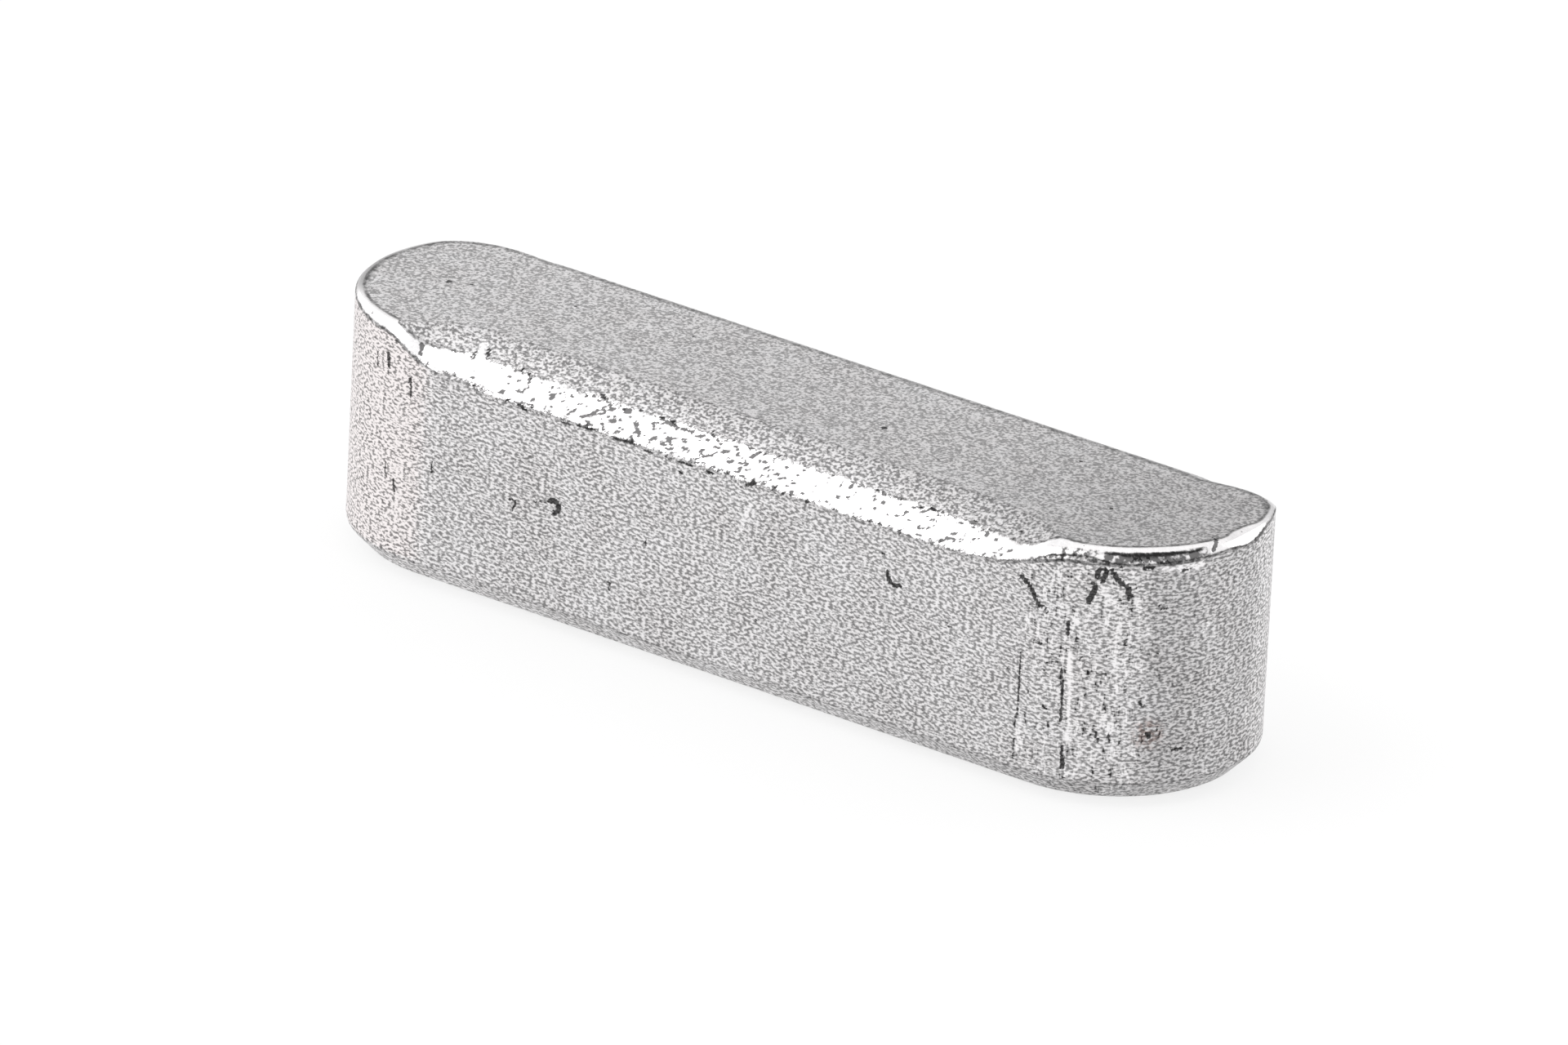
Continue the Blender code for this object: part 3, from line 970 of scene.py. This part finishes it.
def steel_material():
    """Satin drawn steel: grain along the sides, milling streaks on the ends, a bright worn chamfer with a
    painted highlight, and painted light and shade.
    """
    made = Shader("bright_steel")
    at = read_places(made)
    on = find_regions(made, at)
    side_grain = made.ramp(made.noise(at.wrap, *SIDE_GRAIN), *SIDE_GRAIN_LEVELS)
    grain = steel_grain(made, at, on, side_grain)
    patches = made.noise(at.in_mm, *PATCHES)
    streaks = made.noise(at.wrap, *STREAKS)
    dark_streak = made.times(made.ramp(streaks, *DARK_STREAK_LEVELS), at.streaked, on.wall)
    light_streak = made.times(made.ramp(streaks, *LIGHT_STREAK_LEVELS, 1.0, 0.0), at.streaked, on.wall)
    speckle = made.noise(at.wrap, *SPECKLE)
    # A dark band on the right end's chamfer, darker at its core
    band, core = dark_chamfer_band(made, at, on, speckle)
    stain = made.times(made.spot(at.wrap, BROWN_STAIN, BROWN_RADIUS), made.ramp(speckle, *SPECKLE_LEVELS))
    dark = dark_marks(made, at, on)

    tone = clean_tone(made, at, on, grain, patches, light_streak, dark_streak)
    tone = break_tone(made, at, on, tone, side_grain)
    # Painted shade along the edges and creases
    tone = made.times(tone, made.less(1.0, edge_shade_lines(made, at, on)))
    tone = made.times(
        tone,
        made.mix(dark, 1.0, made.mix(on.strip, *MARK_TONES)),
        made.mix(band, 1.0, BAND_TONE),
        made.mix(stain, 1.0, BROWN_TONE),
        made.mix(core, 1.0, CORE_TONE),
    )
    tone = made.math("MINIMUM", made.math("MAXIMUM", tone, LEAST_TONE), MOST_TONE)

    steel = made.tint(patches, WARM_STEEL, COOL_STEEL)
    steel = made.tint(on.left_end, steel, LEFT_END_STEEL)
    steel = made.tint(made.times(stain, BROWN_SHARE), steel, STAINED_STEEL)
    colour = made.add("ShaderNodeVectorMath", {0: steel, "Scale": tone}, operation="SCALE").outputs[0]
    made.feed(made.surface.inputs["Base Color"], colour)
    made.surface.inputs["Metallic"].default_value = 1.0
    rough = made.mix(on.strip, made.mix(grain, *STEEL_ROUGHNESS), STRIP_ROUGHNESS)
    rough = made.mix(made.most(dark, band, core), rough, DARK_ROUGHNESS)
    made.feed(made.surface.inputs["Roughness"], rough)

    height = made.plus(
        made.times(grain, made.mix(on.strip, 1.0, STRIP_GRAIN_LIFT)),
        made.times(dark, MARK_LIFT),
        made.times(light_streak, LIGHT_STREAK_LIFT),
        made.times(dark_streak, DARK_STREAK_LIFT),
    )
    inputs = {"Strength": BUMP_STRENGTH, "Distance": BUMP_HEIGHT * MM, "Height": height}
    made.feed(made.surface.inputs["Normal"], made.add("ShaderNodeBump", inputs).outputs[0])
    return made.material


def make_key():
    mesh = key_mesh()
    mesh.materials.append(steel_material())
    key = bpy.data.objects.new("steel_key", mesh)
    bpy.context.scene.collection.objects.link(key)
    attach(key, "root")
    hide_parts("parallel_key")
    return key


# Camera: a long lens, looking down on the front and the right end. Its angles are in degrees
CAMERA_AZIMUTH = 36.789
CAMERA_ELEVATION = 22.134
CAMERA_ROLL = 2.883
CAMERA_LENS = 557.57
CAMERA_SENSOR = 36.0

# Its distance from the key's origin, and how far that lies right of and above the middle of the picture
CAMERA_DISTANCE = 629.71
PICTURE_SHIFT = (0.394, -3.110)

# Nearest and farthest that it sees, in metres
CAMERA_RANGE = (0.01, 20.0)


def make_camera():
    az, el, roll = (math.radians(v) for v in (CAMERA_AZIMUTH, CAMERA_ELEVATION, CAMERA_ROLL))
    back = Vector((math.sin(az) * math.cos(el), -math.cos(az) * math.cos(el), math.sin(el)))
    level_right = Vector((math.cos(az), math.sin(az), 0.0))
    level_up = back.cross(level_right)
    right = math.cos(roll) * level_right + math.sin(roll) * level_up
    up = back.cross(right)
    place = CAMERA_DISTANCE * back - PICTURE_SHIFT[0] * right - PICTURE_SHIFT[1] * up
    data = bpy.data.cameras.new("camera")
    data.sensor_width = CAMERA_SENSOR
    data.lens = CAMERA_LENS
    data.clip_start, data.clip_end = CAMERA_RANGE
    camera = bpy.data.objects.new("camera", data)
    turned = Matrix((right, up, back)).transposed()
    camera.matrix_world = Matrix.Translation(place * MM) @ turned.to_4x4()
    bpy.context.scene.collection.objects.link(camera)
    bpy.context.scene.camera = camera


# Lamps: direction from the key, distance and size in metres, and brightness of the panel, where 1 is white
LAMPS = {
    "front_left_softbox": ((-0.42, -0.48, 0.77), 0.50, (0.36, 0.30), 1.7),
    "low_left_softbox": ((-0.93, 0.15, 0.33), 0.45, (0.26, 0.26), 0.6),
    "back_softbox": ((0.38, 0.74, 0.55), 0.50, (0.22, 0.20), 1.6),
}


def make_lamps():
    for name, (direction, distance, size, brightness) in LAMPS.items():
        data = bpy.data.lights.new(name, "AREA")
        data.shape = "RECTANGLE"
        data.size, data.size_y = size
        data.energy = brightness * math.pi * size[0] * size[1]
        lamp = bpy.data.objects.new(name, data)
        toward = Vector(direction).normalized()
        lamp.location = toward * distance
        lamp.rotation_euler = toward.to_track_quat("Z", "Y").to_euler()
        bpy.context.scene.collection.objects.link(lamp)


WHITE = (1.0, 1.0, 1.0, 1.0)

# Light of the room at its left and at its right, and what its ceiling adds as a direction rises from one
# height to the other, where 1 is straight up
ROOM_STRENGTHS = (0.90, 0.70)
CEILING_STRENGTH = 0.30
CEILING_HEIGHTS = (0.45, 0.95)


def add_range(tree, value, start, stop, low, high):
    """Socket that goes from low to high as value goes from start to stop."""
    node = tree.nodes.new("ShaderNodeMapRange")
    for name, level in (("From Min", start), ("From Max", stop), ("To Min", low), ("To Max", high)):
        node.inputs[name].default_value = level
    tree.links.new(value, node.inputs["Value"])
    return node.outputs["Result"]


def make_world():
    """White to the camera, and a soft room that is brighter on the left than on the right."""
    world = bpy.data.worlds.new("room")
    world.use_nodes = True
    bpy.context.scene.world = world
    tree = world.node_tree
    room = tree.nodes["Background"]
    seen = tree.nodes.new("ShaderNodeBackground")
    seen.inputs["Color"].default_value = WHITE
    coordinate = tree.nodes.new("ShaderNodeTexCoord")
    split = tree.nodes.new("ShaderNodeSeparateXYZ")
    tree.links.new(coordinate.outputs["Generated"], split.inputs[0])
    across = add_range(tree, split.outputs["X"], -1.0, 1.0, *ROOM_STRENGTHS)
    above = add_range(tree, split.outputs["Z"], *CEILING_HEIGHTS, 0.0, CEILING_STRENGTH)
    both = tree.nodes.new("ShaderNodeMath")
    tree.links.new(across, both.inputs[0])
    tree.links.new(above, both.inputs[1])
    tree.links.new(both.outputs[0], room.inputs["Strength"])
    room.inputs["Color"].default_value = WHITE
    ray = tree.nodes.new("ShaderNodeLightPath")
    choose = tree.nodes.new("ShaderNodeMixShader")
    tree.links.new(ray.outputs["Is Camera Ray"], choose.inputs[0])
    tree.links.new(room.outputs[0], choose.inputs[1])
    tree.links.new(seen.outputs[0], choose.inputs[2])
    tree.links.new(choose.outputs[0], tree.nodes["World Output"].inputs["Surface"])


# Floor: half its side in metres, its gap under the key, its look, and the share of it that is seen as white
FLOOR_HALF = 1.5
FLOOR_GAP = 0.02 * MM
FLOOR_COLOUR = (0.97, 0.97, 0.97, 1.0)
FLOOR_ROUGHNESS = 0.9
FLOOR_GLOW = 0.80


def make_floor():
    mesh = bpy.data.meshes.new("floor")
    level = LOW.z - FLOOR_GAP
    signs = ((-1, -1), (1, -1), (1, 1), (-1, 1))
    mesh.from_pydata([(x * FLOOR_HALF, y * FLOOR_HALF, level) for x, y in signs], [], [(0, 1, 2, 3)])
    made = Shader("pale_floor")
    made.surface.inputs["Base Color"].default_value = FLOOR_COLOUR
    made.surface.inputs["Roughness"].default_value = FLOOR_ROUGHNESS
    ray = made.add("ShaderNodeLightPath")
    shown = made.most(*(ray.outputs[f"Is {kind} Ray"] for kind in ("Camera", "Glossy", "Transmission")))
    glow = made.add("ShaderNodeEmission", {"Color": WHITE, "Strength": 1.0})
    share = made.times(shown, FLOOR_GLOW)
    mixed = made.add("ShaderNodeMixShader", {0: share, 1: made.surface.outputs[0], 2: glow.outputs[0]})
    made.feed(made.tree.nodes["Material Output"].inputs["Surface"], mixed.outputs[0])
    mesh.materials.append(made.material)
    floor = bpy.data.objects.new("floor", mesh)
    bpy.context.scene.collection.objects.link(floor)


make_key()
make_camera()
make_lamps()
make_world()
make_floor()

bpy.context.scene.view_settings.view_transform = "Standard"
